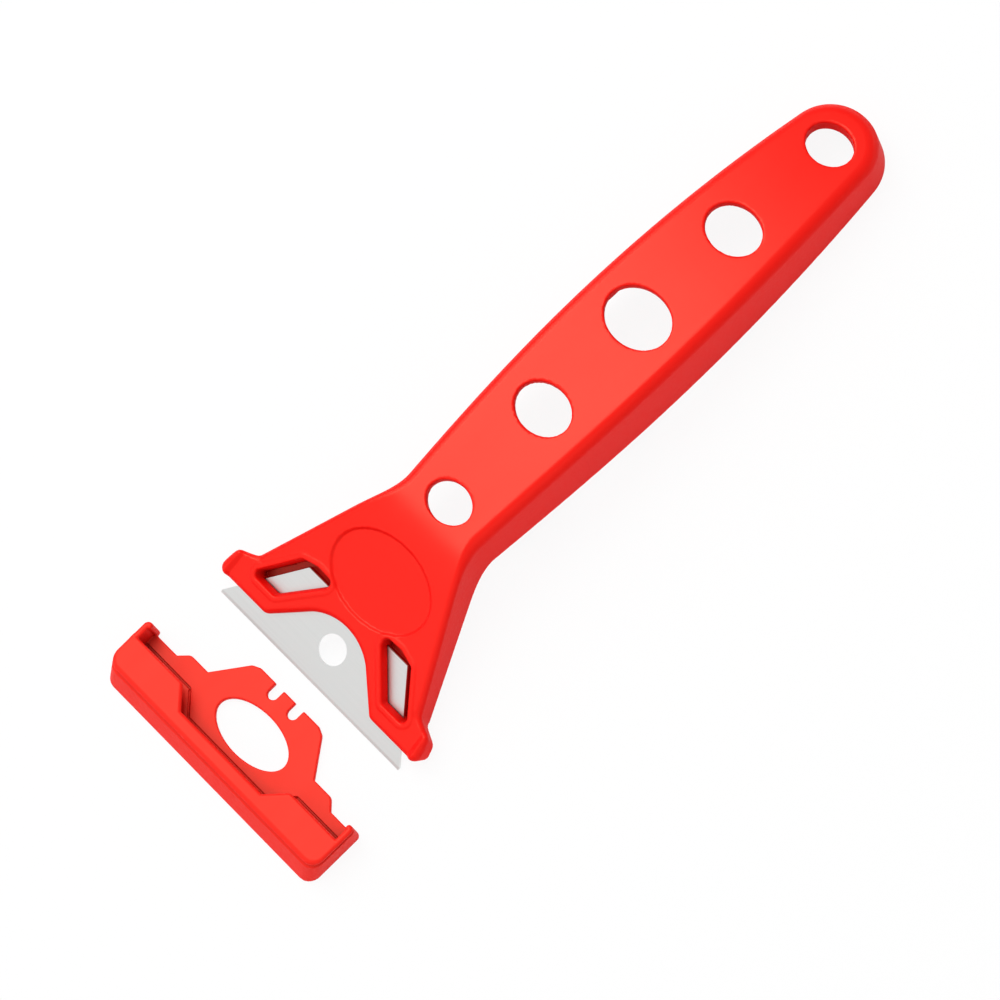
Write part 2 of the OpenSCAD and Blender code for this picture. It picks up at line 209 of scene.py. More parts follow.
def moulding(name, field, lines, keep, origin_y):
    """A Blender object of the field's skin, thinned to the given share of its faces."""
    points, quads = grid_skin(field, lines)
    points = pull_to_surface(field, points)
    mesh = bpy.data.meshes.new(name)
    mesh.from_pydata(points.tolist(), [], quads.tolist())
    draft = bpy.data.objects.new(name + "_draft", mesh)
    bpy.context.scene.collection.objects.link(draft)
    thin = draft.modifiers.new("thin", "DECIMATE")
    thin.ratio = keep
    graph = bpy.context.evaluated_depsgraph_get()
    skin = bpy.data.meshes.new_from_object(draft.evaluated_get(graph))
    bpy.data.objects.remove(draft)
    bpy.data.meshes.remove(mesh)

    flat = np.empty(len(skin.vertices) * 3)
    skin.vertices.foreach_get("co", flat)
    points = pull_to_surface(field, flat.reshape(-1, 3), rounds=3)
    normals = slope_of(field, points)
    normals /= np.linalg.norm(normals, axis=1)[:, None]
    placed = (points - [0, origin_y, 0]) / mm_per_m
    skin.vertices.foreach_set("co", placed.ravel())
    skin.shade_smooth()
    skin.normals_split_custom_set_from_vertices(normals.tolist())
    skin.update()
    skin.name = name
    piece = bpy.data.objects.new(name, skin)
    bpy.context.scene.collection.objects.link(piece)
    print(name, len(quads), "faces wrapped,", len(skin.polygons), "kept")
    return piece


# %% [markdown]
# ## The handle's lines
# Seen from above, the head flares from the neck to two horns, and the grip swells and narrows to a round
# end. Seen from the side, the head is a flat plate at 25 degrees, and the grip is a long low arch. Lengths
# run back from the cutting edge. Each line is worked out once on a fine ruler and looked up from there,
# because a field asks for it millions of times.

# %% Lines of the head and the grip
blade_w, blade_back_w, blade_d, blade_t = 61.0, 33.0, 19.9, 0.6
head_angle = math.radians(25)
edge_lift, blade_out, slot_clear = 0.3, 4.7, 0.1
slot_h = blade_t / 2 + slot_clear
head_top = slot_h + 2.6
head_low = slot_h + 1.7
horn_x, horn_len, horn_lean, horn_r = blade_w / 2 + 2.7, 6.8, 1.0, 2.3
shoulder_in, shoulder_len, foot_at = 6.2, 3.4, 10.2
tool_len, wall, skirt_t, draft = 180.5, 2.0, 1.3, 0.4
neck_x, neck_at, grip_x, grip_at, end_rad = 12.1, 48.5, 14.6, 106.5, 11.0
arch_top, arch_at, arch_r, bend_soft = 23.7, 78.5, 460.0, 2.4
edge_r, head_edge_r, neck_lift = 2.8, 1.7, 7.2
blend_len, blend_out, neck_pull, foot_short = 11, 3.1, 0.5, 2
guard_front = -33.1
origin_y = (guard_front + tool_len) / 2

sin_a, cos_a, tan_a = math.sin(head_angle), math.cos(head_angle), math.tan(head_angle)
horn_end = blade_out + horn_len
shoulder_at = horn_end + shoulder_len
jaw_end = blade_d + 4.0
shoulder_x = horn_x - shoulder_in
blend_y, blend_x = neck_at - blend_len, neck_x + blend_out
rest_y = tool_len - end_rad


def head_y(s, h):
    """Where a point s behind the cutting edge and h over the blade's plane lies along y."""
    return s * cos_a - h * sin_a


def plane_z(y, h):
    """The height at y of the plane that is h over the blade's plane."""
    return edge_lift + y * tan_a + h / cos_a


shoulder_y = head_y(shoulder_at, head_top)
foot_y0 = head_y(foot_at, -head_low)
foot_y1 = head_y(shoulder_at, -head_low) - foot_short
jaw_y = head_y(jaw_end, -head_low)


def half_width(y):
    """Half the handle's width at y: horn, flank, neck, grip and tail in turn."""
    s = (y + head_top * sin_a) / cos_a
    turn = np.clip((s - horn_end) / shoulder_len, 0, 1)
    horn = horn_x - horn_lean * np.clip((s - blade_out) / horn_len, 0, 1) ** 2
    horn -= (shoulder_in - horn_lean) * (1 - np.cos(np.pi * turn)) / 2
    flare = (blend_x - shoulder_x) / (blend_y - shoulder_y)
    flank = shoulder_x + flare * (y - shoulder_y)
    t = np.clip((y - blend_y) / (neck_at - blend_y), 0, 1)
    neck = blend_x * (2 * t**3 - 3 * t**2 + 1) + flare * (neck_at - blend_y) * (t**3 - 2 * t**2 + t)
    neck += neck_x * (3 * t**2 - 2 * t**3) + neck_pull * (t**3 - t**2)
    swell = np.clip((y - neck_at) / (grip_at - neck_at), 0, 1)
    grip = neck_x + (grip_x - neck_x) * np.sin(np.pi / 2 * swell)
    tail = grip_x - (grip_x - end_rad) * ((y - grip_at) / (rest_y - grip_at)) ** 2
    zones = [y < shoulder_y, y < blend_y, y < neck_at, y < grip_at]
    return np.select(zones, [horn, flank, neck, grip], tail)


def arch_z(y):
    """The height of the grip's arch at y."""
    return arch_top - arch_r + np.sqrt(arch_r**2 - (y - arch_at) ** 2)


def top_line(y):
    """The height of the top at y: the head's plate runs into the arch at the bend."""
    plate, arch = plane_z(y, head_top), arch_z(y)
    t = np.clip(0.5 + 0.5 * (arch - plate) / bend_soft, 0, 1)
    return arch + (plate - arch) * t - bend_soft * t * (1 - t)


def bottom_line(y):
    """The height of the lower rim at y: jaw and foot, a rise to the neck, a fall to the end."""
    jaw = plane_z(y, -head_low)
    foot = plane_z(foot_y0, -head_low) * (1 - (y - foot_y0) / (foot_y1 - foot_y0))
    rise = neck_lift * (y - foot_y1) / (neck_at - foot_y1)
    fall = np.maximum(0, neck_lift * (rest_y - y) / (rest_y - neck_at))
    return np.select([y < foot_y0, y < foot_y1, y < neck_at], [jaw, foot, rise], fall)


ruler_step = 0.05
ruler = np.arange(-3.0, 184.0, ruler_step)


def softened(values, reach):
    """The line with its kinks rounded over the given reach."""
    window = np.hanning(int(reach / ruler_step) | 1)
    padded = np.pad(values, len(window) // 2, mode="edge")
    return np.convolve(padded, window / window.sum(), mode="valid")


LINES = {
    "width": softened(half_width(ruler), 2.0),
    "top": softened(top_line(ruler), 3.0),
    "bottom": softened(bottom_line(ruler), 1.0),
}
SLOPES = {name: np.gradient(line, ruler) for name, line in LINES.items()}


def line_at(name, y):
    """The named line at y, looked up on the ruler."""
    return np.interp(y, ruler, LINES[name])


def slant_at(name, y):
    """How much longer a step square to the bench is than one square to the line."""
    return np.sqrt(1 + np.interp(y, ruler, SLOPES[name]) ** 2)


widths = [round(float(line_at("width", y)), 1) for y in (6, neck_at, grip_at)]
print("half width at horn, neck and grip:", widths)

# %% [markdown]
# ## The handle
# The real handle is one thin shell, open underneath. The field follows how the mould makes it: a solid
# outside, less a hollow one wall smaller, less the slot for the blade, the hollow front, two windows over
# the blade's ends and five oval holes along the grip. Each hole has a low collar underneath, so its wall
# is deeper than the shell is thick. The oval on the head is a shallow dish with soft edges, each window
# has a slightly raised rim, and beside the blade's ends the windows go down into the lower jaw.

# %% The handle's field
lip_x = blade_w / 2 - 13.0
front_hollow, front_slant, front_round, front_lead, front_r = 11.9, 8.6, 9.0, 6, 0.7
window_in, window_w, window_over, window_past, window_cut = 5.7, 6.9, 2.1, 2.2, 1.2
window_back = [(0, window_cut), (4, 0), (8.4, 0.2), (8, 1.8)]
window_r, window_slope, window_slope_to, window_edge_r = 0.7, 0.2, 3, 0.4
rim_h, rim_at, rim_flat, rim_reach = 0.25, 1.25, 0.2, 1.1
pocket_gap, pocket_low, pocket_half = 0.15, 0.7, 0.8
bead_h, bead_from, bead_to = 0.85, 29.9, 31.6
oval_in, oval_x, oval_s, oval_depth, oval_soft = 30.9, 14.3, 10.3, 0.7, 0.42
base_r, hollow_r, hollow_lead, inner_r, slot_r = 0.35, 1.0, 0.8, 0.3, 0.1
head_zone, far_off, jaw_overlap, least_h, most_depth, arc_steps = 62, 50.0, 1, 2, 1.3, 16
hang_y, hole_pitch, hole_edge_r = tool_len - 10.7, 29.9, 0.45
hole_sizes = [(12.0, 10.3), (14.3, 11.9), (17.1, 13.9), (14.6, 11.6), (11.9, 9.4)]
collar_h, collar_t, collar_deep, collar_r = [2.0, 0.5, 0.5, 0.5, 0.8], 1.2, 0.6, 0.4
end_lean = (blade_w - blade_back_w) / 2 / blade_d


def front_corners():
    """The hollow front between the two lips: two slants and an arc."""
    rise = front_hollow - front_slant
    radius = (front_round**2 + rise**2) / (2 * rise)
    half = math.asin(front_round / radius)
    apex = blade_out + front_hollow
    lead_x = lip_x + (lip_x - front_round) / front_slant * front_lead
    arc = []
    for i in range(arc_steps + 1):
        angle = half * (1 - 2 * i / arc_steps)
        arc.append((radius * math.sin(angle), apex - radius + radius * math.cos(angle)))
    return [(lead_x, blade_out - front_lead)] + arc + [(-lead_x, blade_out - front_lead)]


def window_corners():
    """A window along the blade's slanted end, counter-clockwise."""
    s0, s1 = blade_out + window_in, blade_d + window_past
    x0 = blade_w / 2 - end_lean * s0 + window_over
    x1 = blade_w / 2 - end_lean * (s1 - window_cut) + window_over
    back = [(x1 - dx, s1 - ds) for dx, ds in window_back]
    return [(x0, s0)] + back + [(x0 - window_w, s0)]


FRONT = front_corners()
WINDOW = inset(window_corners(), window_r)
slot_x, slot_back_x = blade_w / 2 + slot_clear, blade_back_w / 2 + slot_clear
slot_back, slot_lead = blade_d + slot_clear, -8
SLOT = [(-slot_x, slot_lead), (slot_x, slot_lead), (slot_x, 0),
        (slot_back_x, slot_back), (-slot_back_x, slot_back), (-slot_x, 0)]


def round_end(rounds=60):
    """Centre, radius and start of the circle that closes the grip without a kink."""
    start, radius = rest_y, end_rad
    for _ in range(rounds):
        width = np.interp(start, ruler, LINES["width"])
        lead = -width * np.interp(start, ruler, SLOPES["width"])
        radius = math.hypot(width, lead)
        start = tool_len - radius + lead
    return tool_len - radius, radius, start


end_y, end_r, end_start = round_end()


def handle_field(x, y, z):
    """The handle: outside, hollow, slot, windows and pockets, then the holes."""
    ax = np.abs(x)
    s = y * cos_a + (z - edge_lift) * sin_a
    h = (z - edge_lift) * cos_a - y * sin_a
    top, bottom, width = line_at("top", y), line_at("bottom", y), line_at("width", y)
    depth = np.clip((top - z) / np.maximum(top - bottom, least_h), 0, most_depth)

    reach = np.hypot(x, y - end_y)
    tip = reach - end_r - draft * depth * ax / np.maximum(reach, 1)
    side = np.where(y > end_start, tip, (ax - width - draft * depth) / slant_at("width", y))
    near_head = y < head_zone
    g_front, g_window, dish = (np.full(x.shape, far_off) for _ in range(3))
    g_front[near_head] = outline_field(x[near_head], s[near_head], FRONT)
    g_window[near_head] = outline_field(ax[near_head], s[near_head], WINDOW, window_r)
    dish[near_head] = oval_field(x[near_head], s[near_head] - oval_in, oval_x, oval_s)

    relief = -oval_depth * ease(oval_soft, -oval_soft, dish)
    relief += rim_h * ease(rim_reach, rim_flat, np.abs(g_window - rim_at))
    relief += bead_h * ease(bead_from, bead_to, ax) * ease(shoulder_at, horn_end, s)
    upper = (z - top - relief) / slant_at("top", y)
    plan = without(both(side, blade_out - s, horn_r), g_front, front_r)
    rounding = head_edge_r + (edge_r - head_edge_r) * ease(blend_y, neck_at, y)
    body = both(plan, upper, rounding)
    body = both(body, (bottom - z) / slant_at("bottom", y), base_r)

    inner_side = np.where(y > end_start, reach - end_r, (ax - width) / slant_at("width", y))
    inner_side = inner_side + wall - (wall + draft - skirt_t) * depth
    under_top = np.maximum((z - top) / slant_at("top", y) + wall, jaw_y - y)
    under_jaw = np.maximum(h + head_low, y - jaw_y - jaw_overlap)
    hollow = both(inner_side, np.minimum(under_top, under_jaw), hollow_r)
    hollow = np.maximum(hollow, foot_y0 - hollow_lead - y)
    body = without(body, hollow, inner_r)

    g_slot = np.full(x.shape, far_off)
    g_slot[near_head] = outline_field(x[near_head], s[near_head], SLOT)
    body = without(body, np.maximum(np.abs(h) - slot_h, g_slot), slot_r)
    sloped = g_window - window_slope * np.clip(h, 0, window_slope_to)
    body = without(body, np.maximum(sloped, -h), window_edge_r)
    beside_blade = np.maximum(g_window, -g_slot - pocket_gap)
    pocket = np.maximum(beside_blade, np.abs(h + pocket_low) - pocket_half)
    body = np.maximum(body, -pocket)
    for number, (across, lengthwise) in enumerate(hole_sizes):
        at = hang_y - number * hole_pitch
        lean = -math.asin((at - arch_at) / arch_r)
        along = (y - at) * math.cos(lean) + (z - arch_z(at)) * math.sin(lean)
        hole = oval_field(x, along, across / 2, lengthwise / 2)
        collar = both(hole - collar_t, -upper - wall - collar_h[number], inner_r)
        body = either(body, np.maximum(collar, upper + collar_deep), collar_r)
        body = without(body, hole, hole_edge_r)
    return body


# %% Wrapping the handle
def spaced(*stops):
    """Grid lines from stop to stop: pairs of a place and the spacing up to it."""
    lines = [np.array([stops[0]])]
    for start, (stop, spacing) in zip([stops[0]] + [p for p, _ in stops[1:]], stops[1:]):
        lines.append(np.linspace(start, stop, max(2, round((stop - start) / spacing) + 1))[1:])
    return np.concatenate(lines)


handle_lines = [
    spaced(-35.0, (35.0, 0.45)),
    spaced(1.5, (50.0, 0.4), (160.0, 0.7), (182.0, 0.45)),
    spaced(-1.0, (11.0, 0.24), (25.0, 0.42)),
]
handle = moulding("scraper_handle", handle_field, handle_lines, keep=0.3, origin_y=origin_y)

# %% [markdown]
# ## The blade guard
# The guard is a clip for the head's front: a deep channel with a slanted face, two pads and a narrow lip
# over the channel, an ear at each end, and a thin plate with an oval hole and a spring finger between two
# notches. It is written as a field like the handle, from blocks with fillets where they join. A fine
# crease runs round the outside below the top's edge, where the halves of the mould meet, and a narrow
# groove in the plate follows the pads.

# %% The guard's field
guard_clear, guard_wall, plate_t, pad_t = 0.25, 1.6, 1.5, 1.4
gap_h = head_top + head_low + 2 * guard_clear
guard_h = plate_t + gap_h + pad_t
guard_in_x = horn_x + guard_clear
guard_x = guard_in_x + guard_wall
tongue_d, front_lean, corner_r = 22.0, 3.6, 3.2
guard_y = guard_front + front_lean + guard_wall
pad_x, pad_d, top_lip_d, pad_slant, pad_r = lip_x + 0.9, 7.0, 2.0, 4.7, 0.4
plate_d, step_d, step_x, plate_r, plate_edge_r, plate_clear = 10.3, 2.4, 23.8, 1.8, 0.35, 0.1
plate_x = guard_x - plate_clear
tongue_root_x, tongue_x, tongue_out, tongue_back, tongue_cut = 18.1, 11.0, 0.8, 0.9, 1.2
eye_in, eye_x, eye_g = 9.85, 10.8, 5.7
notch_w, notch_d, finger_x = 2.7, 3.6, 2.0
ear_d, ear_hook, ear_r, hook_r = 11.4, 2.0, 1.3, 0.7
ear_root, ear_low, ear_top_r = 1.5, 0.1, 0.75
crease_in, crease_w, crease_d, crease_r = 1.5, 0.6, 0.6, 0.15
groove_at, groove_half, groove_z = 0.2, 0.25, 1.0
top_edge_r, lip_edge_r, inner_edge_r = 0.8, 0.9, 0.3
plate_join_r, ear_join_r, under_r = 0.25, 0.3, 0.25
past_mid, pads_ahead, pads_aside = -30.0, -12, guard_x + 4

PLATE = inset([(past_mid, 0), (plate_x, 0), (plate_x, plate_d), (step_x + step_d, plate_d),
               (step_x, plate_d + step_d), (tongue_root_x, plate_d + step_d),
               (tongue_x + tongue_out, tongue_d - tongue_back), (tongue_x - tongue_cut, tongue_d),
               (past_mid, tongue_d)], plate_r)
PADS = inset([(past_mid, pads_ahead), (pads_aside, pads_ahead), (pads_aside, pad_d), (pad_x, pad_d),
              (pad_x - pad_slant, top_lip_d), (past_mid, top_lip_d)], pad_r)


def guard_field(x, y, z):
    """The guard: block, ears and plate, less the hole, the notches and the crease."""
    ax = np.abs(x)
    g = y - guard_y
    lean = front_lean * (1 - z / guard_h)
    front = (-guard_wall - lean - g) / math.hypot(1, front_lean / guard_h)
    outer = both(ax - guard_x, front, corner_r)
    pads = outline_field(ax, g, PADS, pad_r)
    block = both(both(outer, g - pad_d, pad_r), z - guard_h, top_edge_r)
    within = np.maximum(np.maximum(ax - guard_in_x, -g), plate_t - z)
    block = without(block, np.maximum(within, z - plate_t - gap_h), inner_edge_r)
    block = without(block, np.maximum(within, -pads), lip_edge_r)

    ear = both(ax - guard_x, g - ear_d, ear_r)
    ear = without(ear, np.maximum(ax - guard_in_x, g - ear_d + guard_wall), inner_edge_r)
    ear = both(ear, guard_x - ear_hook - ax, hook_r)
    ear = np.maximum(ear, pad_d - ear_root - g)
    ear = both(ear, z - guard_h + ear_low, ear_top_r)
    plate = both(outline_field(ax, g, PLATE, plate_r), z - plate_t, plate_edge_r)
    groove = np.maximum(np.abs(pads - groove_at) - groove_half, groove_z - z)
    plate = np.maximum(plate, -groove)
    body = either(either(block, plate, plate_join_r), ear, ear_join_r)

    notch_end = tongue_d - notch_d + notch_w / 2
    notch = np.hypot(ax - finger_x - notch_w / 2, np.minimum(g - notch_end, 0)) - notch_w / 2
    body = without(body, oval_field(x, g - eye_in, eye_x, eye_g), inner_edge_r)
    body = without(body, notch, inner_edge_r)
    crease = np.hypot((z - guard_h + crease_in) / crease_w, outer / crease_d) - 1
    body = without(body, crease * crease_d, crease_r)
    body = np.maximum(body, ax - guard_x)
    return both(body, -z, under_r)


# %% Wrapping the guard
guard_lines = [
    spaced(-36.0, (36.0, 0.27)),
    spaced(-34.0, (-5.0, 0.25)),
    spaced(-1.0, (9.0, 0.24)),
]
guard = moulding("scraper_guard", guard_field, guard_lines, keep=0.25, origin_y=origin_y)

# %% [markdown]
# ## The blade
# The blade is a flat trapezoid of hard steel, 0.6 mm thick, with a ground edge and a round hole. It is too
# thin for a grid, and its faces are plain planes, so it is drawn as a flat outline with a hole, filled,
# and extruded to its thickness. The cutting edge then gets thin by moving its vertices together, nearer
# the upper face, because the edge is ground mostly from below. Its two tips are clipped a little: a needle
# point would break off.

# %% Blade mesh
bevel_d, cut_t, edge_h, edge_zone, tip_in = 0.7, 0.06, 0.19, 0.01, 0.45
blade_hole_in, blade_hole_r, hole_sides = 9.5, 3.75, 64


def blade_piece(name):
    """The blade, drawn flat and then tilted into its slot."""
    plan = bmesh.new()

    def ring(points):
        verts = [plan.verts.new((px, ps, -blade_t / 2)) for px, ps in points]
        return verts, [plan.edges.new(pair) for pair in zip(verts, verts[1:] + verts[:1])]

    def half(s):
        return blade_w / 2 - end_lean * s

    front_x, back_x = half(bevel_d), half(blade_d)
    body = [(-front_x, bevel_d), (front_x, bevel_d), (back_x, blade_d), (-back_x, blade_d)]
    turns = [2 * math.pi * i / hole_sides for i in range(hole_sides)]
    hole = [(blade_hole_r * math.cos(t), blade_hole_in + blade_hole_r * math.sin(t)) for t in turns]
    outer, outer_edges = ring(body)
    hole_edges = ring(hole)[1]
    bmesh.ops.triangle_fill(plan, use_beauty=True, edges=outer_edges + hole_edges)
    tips = [plan.verts.new((k * (half(0) - tip_in), 0, -blade_t / 2)) for k in (-1, 1)]
    plan.faces.new((tips[0], tips[1], outer[1], outer[0]))
    grown = bmesh.ops.extrude_face_region(plan, geom=plan.faces[:], use_keep_orig=True)
    lifted = [item for item in grown["geom"] if isinstance(item, bmesh.types.BMVert)]
    bmesh.ops.translate(plan, verts=lifted, vec=(0, 0, blade_t))
    for vert in plan.verts:
        if abs(vert.co.y) < edge_zone:
            vert.co.z = edge_h + math.copysign(cut_t / 2, vert.co.z)
    bmesh.ops.recalc_face_normals(plan, faces=plan.faces[:])

    to_bench = Matrix.Translation((0, -origin_y, edge_lift)) @ Matrix.Rotation(head_angle, 4, "X")
    bmesh.ops.transform(plan, matrix=Matrix.Scale(1 / mm_per_m, 4) @ to_bench, verts=plan.verts[:])
    mesh = bpy.data.meshes.new(name)
    plan.to_mesh(mesh)
    plan.free()
    piece = bpy.data.objects.new(name, mesh)
    bpy.context.scene.collection.objects.link(piece)
    print(name, len(mesh.polygons), "faces")
    return piece


blade = blade_piece("scraper_blade")

# %% [markdown]
# ## Finishes
# A material is a graph of nodes. The small class below holds one socket of such a graph and lets Python
# do arithmetic with it: an expression such as 1 - mask adds the Math nodes that it needs. Every other node
# comes from one method, which takes the node's type, its settings and what its sockets get.

# %% Sockets that can be reckoned with
class Wire:
    """A socket of a node graph that takes part in arithmetic."""

    def __init__(self, tree, socket=None):
        self.tree = tree
        self.socket = socket

    def node(self, kind, settings=None, sockets=None, out=0):
        node = self.tree.nodes.new(kind)
        for name, value in (settings or {}).items():
            setattr(node, name, value)
        for name, value in (sockets or {}).items():
            if isinstance(value, Wire):
                self.tree.links.new(value.socket, node.inputs[name])
            else:
                node.inputs[name].default_value = value
        return Wire(self.tree, None if out is None else node.outputs[out])

    def maths(self, operation, *values):
        return self.node("ShaderNodeMath", {"operation": operation}, dict(enumerate(values)))

    def clamped(self):
        return self.node("ShaderNodeClamp", {}, {"Value": self})

    def __add__(self, other):
        return self.maths("ADD", self, other)

    def __sub__(self, other):
        return self.maths("SUBTRACT", self, other)

    def __rsub__(self, other):
        return self.maths("SUBTRACT", other, self)

    def __mul__(self, other):
        return self.maths("MULTIPLY", self, other)

    __radd__ = __add__
    __rmul__ = __mul__


def new_finish(name):
    """A new material and the bare wire that its nodes are drawn with."""
    material = bpy.data.materials.new(name)
    material.use_nodes = True
    material.node_tree.nodes.clear()
    return material, Wire(material.node_tree)


def mixed(wire, mask, first, second):
    """A colour that goes from first to second with the mask."""
    return wire.node("ShaderNodeMix", {"data_type": "RGBA"}, {0: mask, 6: first, 7: second}, out=2)


print("wires ready")

# %% [markdown]
# ## Red moulded plastic
# The plastic is dyed through, so its colour is even, but never quite: flow lines and faint clouds are left
# from the mould. The mould is polished where the top shows and left finely grained on the side walls, so
# that the part lets go of it. Two surfaces, a polished and a dull one, are therefore mixed by how steeply
# the surface stands, and the grain's bump follows the same mask. In corners and grooves a painted shade
# darkens the red: the Ambient Occlusion node measures how closed in a point is, and mixes a darker red
# into the base colour there.

# %% Plastic finish
# The darker red that is painted into corners and grooves as shade.
painted_shade_colour = (0.42, 0.002, 0.001, 1)
shine_tint = (1.0, 0.92, 0.64, 1)


def moulded_plastic(name, colour, deep_colour, top_rough, side_shine, reach):
    """Red plastic, polished on top and grained on the side walls."""
    material, wire = new_finish(name)
    place = wire.node("ShaderNodeTexCoord", out="Object")
    facing = wire.node("ShaderNodeTexCoord", out="Normal")
    upright = wire.node("ShaderNodeSeparateXYZ", {}, {0: facing}, out=2)
    steep = (1.06 - wire.maths("ABSOLUTE", upright)) * 2.2
    steep = (steep - 0.3).clamped()

    clouds = wire.node("ShaderNodeTexNoise", {}, {"Vector": place, "Scale": 45.0, "Detail": 3.0})
    stretched = wire.node("ShaderNodeMapping", {}, {"Vector": place, "Scale": (260.0, 28.0, 260.0)})
    flow = wire.node("ShaderNodeTexNoise", {}, {"Vector": stretched, "Scale": 1.0, "Detail": 4.0})
    grain = wire.node("ShaderNodeTexNoise", {}, {"Vector": place, "Scale": 1300.0, "Detail": 3.0})

    tone = (clouds * 0.6 + flow * 0.4).clamped()
    base = mixed(wire, tone, deep_colour, colour)
    # Painted shade: where the Ambient Occlusion node, looking as far as reach, finds a corner, groove or
    # recess, a darker red is mixed into the base colour.
    open_sky = wire.node("ShaderNodeAmbientOcclusion", {"samples": 8, "only_local": True},
                         {"Distance": reach}, out="AO")
    painted_shade_mask = ((0.85 - open_sky) * 1.8).clamped()
    base = mixed(wire, painted_shade_mask, base, painted_shade_colour)
    relief = grain * (0.05 + steep * 0.95) + flow * 0.1
    bump = wire.node("ShaderNodeBump", {}, {"Height": relief, "Strength": 0.3, "Distance": 0.0003})
    polished = wire.node("ShaderNodeBsdfPrincipled", {}, {
        "Base Color": base, "Roughness": top_rough + (flow - 0.5) * 0.08, "Normal": bump,
        "Specular IOR Level": 0.35, "Specular Tint": shine_tint})
    dull = wire.node("ShaderNodeBsdfPrincipled", {}, {
        "Base Color": base, "Roughness": 0.6 + (grain - 0.5) * 0.2, "Normal": bump,
        "Specular IOR Level": side_shine, "Specular Tint": shine_tint})
    surface = wire.node("ShaderNodeMixShader", {}, {0: steep, 1: polished, 2: dull})
    wire.node("ShaderNodeOutputMaterial", {}, {"Surface": surface}, out=None)
    print("finish", name)
    return material


handle_red = moulded_plastic("handle_red", (1.0, 0.004, 0.003, 1), (0.95, 0.003, 0.002, 1),
                             top_rough=0.30, side_shine=0.15, reach=0.0045)
guard_red = moulded_plastic("guard_red", (1.0, 0.012, 0.007, 1), (0.95, 0.008, 0.005, 1),
                            top_rough=0.46, side_shine=0.28, reach=0.007)

# %% [markdown]
# ## Bare steel
# The blade is rolled strip, so fine lines run along it, parallel to the cutting edge. The ground edge has
# lines across it instead, left by the wheel. The mask for the edge needs no painting: it is the distance
# from the cutting edge in the blade's own plane, which a dot product gives.

# %% Steel finish
def bare_steel(name):
    """Rolled steel with a ground edge."""
    material, wire = new_finish(name)
    place = wire.node("ShaderNodeTexCoord", out="Object")
    back = wire.node("ShaderNodeVectorMath", {"operation": "DOT_PRODUCT"},
                     {0: place, 1: (0, cos_a, sin_a)}, out=1)
    edge_at = (-origin_y * cos_a + edge_lift * sin_a) / mm_per_m
    from_edge = (back - edge_at) * mm_per_m
    ground = 1 - ((from_edge - bevel_d + 0.05) * 10).clamped()

    in_plane = wire.node("ShaderNodeVectorRotate", {"rotation_type": "X_AXIS"},
                         {"Vector": place, "Angle": -head_angle})
    rolled_map = wire.node("ShaderNodeMapping", {}, {"Vector": in_plane, "Scale": (25.0, 3200.0, 1.0)})
    rolled = wire.node("ShaderNodeTexNoise", {}, {"Vector": rolled_map, "Scale": 1.0, "Detail": 3.0})
    wheel_map = wire.node("ShaderNodeMapping", {}, {"Vector": in_plane, "Scale": (4200.0, 160.0, 1.0)})
    wheel = wire.node("ShaderNodeTexNoise", {}, {"Vector": wheel_map, "Scale": 1.0, "Detail": 2.0})
    clouds = wire.node("ShaderNodeTexNoise", {}, {"Vector": place, "Scale": 70.0, "Detail": 4.0})

    lines = rolled * (1 - ground) + wheel * ground
    bright = (lines * 0.5 + clouds * 0.5).clamped()
    face = mixed(wire, bright, (0.72, 0.735, 0.725, 1), (0.88, 0.90, 0.89, 1))
    base = mixed(wire, ground * 0.2, face, (0.55, 0.55, 0.54, 1))
    rough = 0.36 + (clouds - 0.5) * 0.12 + lines * 0.06
    bump = wire.node("ShaderNodeBump", {}, {"Height": lines, "Strength": 0.08, "Distance": 0.0001})
    surface = wire.node("ShaderNodeBsdfPrincipled", {}, {
        "Base Color": base, "Roughness": rough, "Normal": bump, "Metallic": 1.0})
    wire.node("ShaderNodeOutputMaterial", {}, {"Surface": surface}, out=None)
    print("finish", name)
    return material


blade_steel = bare_steel("blade_steel")

# %% [markdown]
# ## Floor, world and lamps
# A product photograph has large soft lights and a white ground. The floor could be a white sheet, but
# that would hide the underside from a low camera, and the blade where it is drawn out past the bench top.
# So it is a veil: rays from the camera and from shiny surfaces go through most of it to a white world, and
# what is left shows its true shading, so that the object keeps its shadow. The sky is dimmer near the
# horizon, which makes the rounded edges look deeper red than the flat top. The flat blade would show a
# lamp as one white patch, so light linking keeps the two bright boxes off it.

# %% Floor
floor_z, veil = -0.00015, 0.92


def seen_rays(wire):
    """1 for rays from the camera, and 1 for rays from a shiny or clear surface."""
    kinds = ("Camera", "Glossy", "Transmission")
    camera_ray, glossy_ray, clear_ray = (wire.node("ShaderNodeLightPath", out="Is %s Ray" % k) for k in kinds)
    return camera_ray, wire.maths("MAXIMUM", glossy_ray, clear_ray)


def pale_floor(name, size):
    """A floor that is almost clear to the camera and still takes shadows."""
    mesh = bpy.data.meshes.new(name)
    corners = [(i * size, j * size, floor_z) for i, j in ((-1, -1), (1, -1), (1, 1), (-1, 1))]
    mesh.from_pydata(corners, [], [(0, 1, 2, 3)])
    floor = bpy.data.objects.new(name, mesh)
    bpy.context.scene.collection.objects.link(floor)
    material, wire = new_finish(name)
    by_camera, by_mirror = seen_rays(wire)
    seen = wire.maths("MAXIMUM", by_camera, by_mirror)
    lit = wire.node("ShaderNodeBsdfDiffuse", {}, {"Color": (0.94, 0.94, 0.94, 1)})
    clear = wire.node("ShaderNodeBsdfTransparent")
    surface = wire.node("ShaderNodeMixShader", {}, {0: seen * veil, 1: lit, 2: clear})
    wire.node("ShaderNodeOutputMaterial", {}, {"Surface": surface}, out=None)
    mesh.materials.append(material)
    print("floor", 2 * size, "m wide")


pale_floor("floor", size=4.0)

